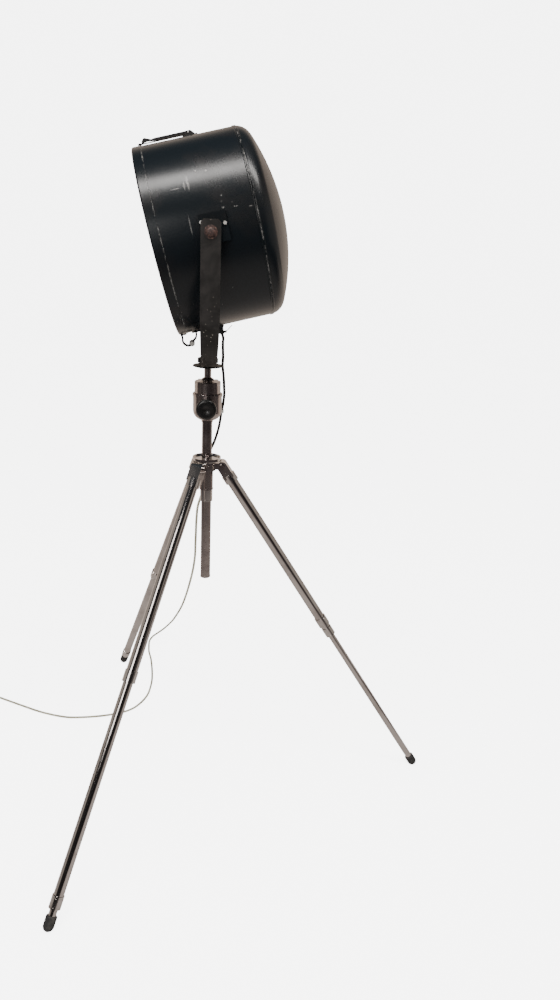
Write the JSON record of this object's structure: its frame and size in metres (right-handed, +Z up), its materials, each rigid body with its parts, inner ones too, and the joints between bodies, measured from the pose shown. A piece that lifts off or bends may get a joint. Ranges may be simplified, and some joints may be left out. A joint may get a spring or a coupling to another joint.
{
  "type": "tripod spotlight floor lamp",
  "caption": "Drum spotlight in a U yoke on a ball head and lifting column, over a folding tripod with telescopic chrome legs and a mains cord",
  "frame": {"origin": "On the floor at the middle of the box round the lamp without its free cord", "axes": "+Z up, the lamp shines towards -X, -Y is the side with the lock knob"},
  "size_m": [1.4782, 1.2487, 1.6474],
  "materials": {
    "bright_chrome": "polished plating with light wear",
    "foot_rubber": "matt",
    "black_plastic": "semi-gloss moulding",
    "drum_enamel": "semi-gloss blue-black enamel, scuffed",
    "black_steel": "blackened",
    "yoke_paint": "worn black paint",
    "rusty_steel": "rusted",
    "spun_aluminium": "polished",
    "glazed_ceramic": "glazed",
    "lamp_glass": "opal",
    "front_glass": "clear",
    "seal_rubber": "matt",
    "cord_sheath": "cream PVC",
    "clip_plastic": "pale moulding",
    "pin_brass": "bright"
  },
  "bodies": {
    "tripod": {"crown": "bright_chrome", "column_sleeve": "bright_chrome", "crown_bolts": "bright_chrome", "cord_drop": "cord_sheath", "cord_coil": "cord_sheath", "plug": "black_plastic", "plug_pins": "pin_brass"},
    "leg_n": {"leg_n_bracket": "bright_chrome", "leg_n_upper": "bright_chrome"},
    "twist_1_n": {"leg_n_collar_1": "bright_chrome"},
    "middle_n": {"leg_n_middle": "bright_chrome"},
    "twist_2_n": {"leg_n_collar_2": "bright_chrome"},
    "lower_n": {"leg_n_lower": "bright_chrome", "leg_n_foot": "foot_rubber"},
    "leg_r": {"leg_r_bracket": "bright_chrome", "leg_r_upper": "bright_chrome"},
    "twist_1_r": {"leg_r_collar_1": "bright_chrome"},
    "middle_r": {"leg_r_middle": "bright_chrome"},
    "twist_2_r": {"leg_r_collar_2": "bright_chrome"},
    "lower_r": {"leg_r_lower": "bright_chrome", "leg_r_foot": "foot_rubber"},
    "leg_f": {"leg_f_bracket": "bright_chrome", "leg_f_upper": "bright_chrome"},
    "twist_1_f": {"leg_f_collar_1": "bright_chrome"},
    "middle_f": {"leg_f_middle": "bright_chrome"},
    "twist_2_f": {"leg_f_collar_2": "bright_chrome"},
    "lower_f": {"leg_f_lower": "bright_chrome", "leg_f_foot": "foot_rubber"},
    "clamp": {"clamp_collar": "bright_chrome"},
    "column": {"column_tube": "bright_chrome", "column_end_cap": "black_plastic", "head_body": "bright_chrome", "cord_clip": "clip_plastic", "cord_upper": "cord_sheath"},
    "knob": {"lock_knob": "black_plastic", "knob_shank": "bright_chrome"},
    "cap": {"head_cap": "bright_chrome"},
    "ball": {"ball_stud": "bright_chrome", "platform_disc": "black_steel", "yoke_nut": "black_steel"},
    "yoke": {"yoke": "yoke_paint"},
    "drum": {"drum_shell": "drum_enamel", "rear_cover": "drum_enamel", "trunnion_pads": "drum_enamel", "trunnion_bolts": "rusty_steel", "reflector": "spun_aluminium", "lampholder_bracket": "spun_aluminium", "lampholder": "glazed_ceramic", "lamp_bulb": "lamp_glass", "strain_relief": "black_plastic", "cable_tie": "black_plastic", "hinge_leaf_drum": "black_steel", "catch_base": "black_steel", "drum_fixings": "bright_chrome"},
    "door": {"door_bezel": "drum_enamel", "door_glass": "front_glass", "glass_seal": "seal_rubber", "hinge_leaf_door": "black_steel"},
    "lever": {"catch_lever": "black_steel"},
    "link": {"catch_link": "bright_chrome"}
  },
  "joints": [
    {"name": "leg_n_fold", "type": "hinge", "parent": "tripod", "child": "leg_n", "pos_m": [-0.17125, -0.03291, 0.89624], "axis": [0.866, -0.5, 0], "range_deg": [0, 32]},
    {"name": "leg_n_collar_1_twist", "type": "hinge", "parent": "leg_n", "child": "twist_1_n", "pos_m": [-0.30953, -0.27241, 0.46773], "axis": [-0.2711, -0.4696, -0.8402], "range_deg": [0, 90]},
    {"name": "leg_n_middle_slide", "type": "slide", "parent": "leg_n", "child": "middle_n", "axis": [-0.2711, -0.4696, -0.8402], "range_m": [-0.459, 0]},
    {"name": "leg_n_collar_2_twist", "type": "hinge", "parent": "middle_n", "child": "twist_2_n", "pos_m": [-0.44346, -0.5044, 0.05267], "axis": [-0.2711, -0.4696, -0.8402], "range_deg": [0, 90]},
    {"name": "leg_n_lower_slide", "type": "slide", "parent": "middle_n", "child": "lower_n", "axis": [-0.2711, -0.4696, -0.8402], "range_m": [0, 0.459]},
    {"name": "leg_r_fold", "type": "hinge", "parent": "tripod", "child": "leg_r", "pos_m": [-0.11425, 0, 0.89624], "axis": [0, 1, 0], "range_deg": [0, 32]},
    {"name": "leg_r_collar_1_twist", "type": "hinge", "parent": "leg_r", "child": "twist_1_r", "pos_m": [0.1623, 0, 0.46773], "axis": [0.5423, 0, -0.8402], "range_deg": [0, 90]},
    {"name": "leg_r_middle_slide", "type": "slide", "parent": "leg_r", "child": "middle_r", "axis": [0.5423, 0, -0.8402], "range_m": [0, 0.459]},
    {"name": "leg_r_collar_2_twist", "type": "hinge", "parent": "middle_r", "child": "twist_2_r", "pos_m": [0.18128, 0, 0.43833], "axis": [0.5423, 0, -0.8402], "range_deg": [0, 90]},
    {"name": "leg_r_lower_slide", "type": "slide", "parent": "middle_r", "child": "lower_r", "axis": [0.5423, 0, -0.8402], "range_m": [-0.459, 0]},
    {"name": "leg_f_fold", "type": "hinge", "parent": "tripod", "child": "leg_f", "pos_m": [-0.17125, 0.03291, 0.89624], "axis": [-0.866, -0.5, 0], "range_deg": [0, 32]},
    {"name": "leg_f_collar_1_twist", "type": "hinge", "parent": "leg_f", "child": "twist_1_f", "pos_m": [-0.30953, 0.27241, 0.46773], "axis": [-0.2711, 0.4696, -0.8402], "range_deg": [0, 90]},
    {"name": "leg_f_middle_slide", "type": "slide", "parent": "leg_f", "child": "middle_f", "axis": [-0.2711, 0.4696, -0.8402], "range_m": [-0.459, 0]},
    {"name": "leg_f_collar_2_twist", "type": "hinge", "parent": "middle_f", "child": "twist_2_f", "pos_m": [-0.44346, 0.5044, 0.05267], "axis": [-0.2711, 0.4696, -0.8402], "range_deg": [0, 90]},
    {"name": "leg_f_lower_slide", "type": "slide", "parent": "middle_f", "child": "lower_f", "axis": [-0.2711, 0.4696, -0.8402], "range_m": [0, 0.459]},
    {"name": "column_clamp_twist", "type": "hinge", "parent": "tripod", "child": "clamp", "pos_m": [-0.15225, 0, 0.81624], "axis": [0, 0, 1], "range_deg": [0, 90]},
    {"name": "column_lift", "type": "slide", "parent": "tripod", "child": "column", "axis": [0, 0, 1], "range_m": [-0.085, 0.198], "deforming": ["cord_drop"]},
    {"name": "lock_knob_turn", "type": "hinge", "parent": "column", "child": "knob", "pos_m": [-0.15225, -0.06, 1.04824], "axis": [0, -1, 0], "range_deg": [0, 270]},
    {"name": "head_pan", "type": "hinge", "parent": "column", "child": "cap", "pos_m": [-0.15225, 0, 1.09024], "axis": [0, 0, 1], "range_deg": [-90, 90], "deforming": ["cord_upper"]},
    {"name": "head_tilt", "type": "hinge", "parent": "cap", "child": "ball", "pos_m": [-0.15225, 0, 1.09324], "axis": [-0.0523, 0.9986, 0], "range_deg": [-25, 25]},
    {"name": "yoke_swivel", "type": "hinge", "parent": "ball", "child": "yoke", "pos_m": [-0.15225, 0, 1.14424], "axis": [0, 0, 1], "range_deg": [-60, 60]},
    {"name": "drum_tilt", "type": "hinge", "parent": "yoke", "child": "drum", "pos_m": [-0.15225, 0, 1.43024], "axis": [-0.0523, 0.9986, 0], "range_deg": [-45, 45]},
    {"name": "door_swing", "type": "hinge", "parent": "drum", "child": "door", "pos_m": [-0.18929, -0.00194, 1.19062], "axis": [0.0523, -0.9986, 0], "range_deg": [0, 100]},
    {"name": "catch_lever_lift", "type": "hinge", "parent": "drum", "child": "lever", "pos_m": [-0.20024, -0.00251, 1.62925], "axis": [-0.0523, 0.9986, 0], "range_deg": [0, 110]},
    {"name": "catch_link_drop", "type": "hinge", "parent": "lever", "child": "link", "pos_m": [-0.19624, -0.00231, 1.62853], "axis": [-0.0523, 0.9986, 0], "range_deg": [-95, 0]}
  ],
  "couplings": [
    {"joint": "catch_lever_lift", "follows": "door_swing", "ratio": 1.1},
    {"joint": "catch_link_drop", "follows": "door_swing", "ratio": -0.95}
  ]
}
